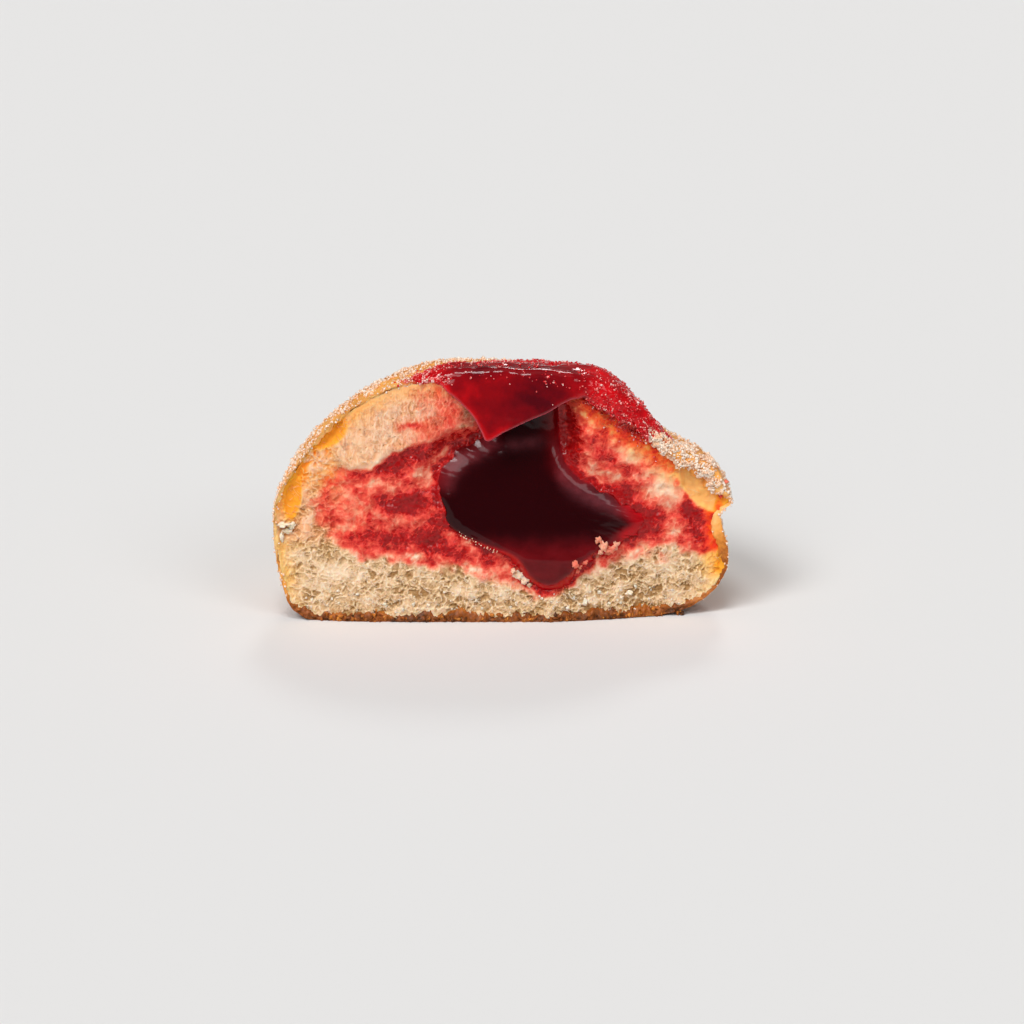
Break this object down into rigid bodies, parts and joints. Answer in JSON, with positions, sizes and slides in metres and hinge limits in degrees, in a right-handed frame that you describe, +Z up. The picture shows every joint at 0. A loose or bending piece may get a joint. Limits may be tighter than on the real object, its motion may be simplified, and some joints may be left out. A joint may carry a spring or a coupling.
{
  "type": "jelly filled doughnut",
  "caption": "Half of a sugared jelly doughnut, cut face forward, with dark berry jelly welling from the middle up over its crown.",
  "frame": {"origin": "bottom centre of the bounding box, on the surface that the half doughnut stands on", "axes": "+X along the cut to the viewer's right as the cut faces them, -Y out of the cut face, +Z up"},
  "size_m": [0.09, 0.0474, 0.0521],
  "materials": {
    "dough": "open bread crumb inside a golden-brown fried crust with granulated sugar",
    "filling": "wet, glossy, near-black red berry jelly",
    "topping": "wet, glossy, translucent red jelly"
  },
  "bodies": {
    "root": {"dough": "dough", "jelly_filling": "filling", "jelly_topping": "topping"}
  },
  "joints": []
}
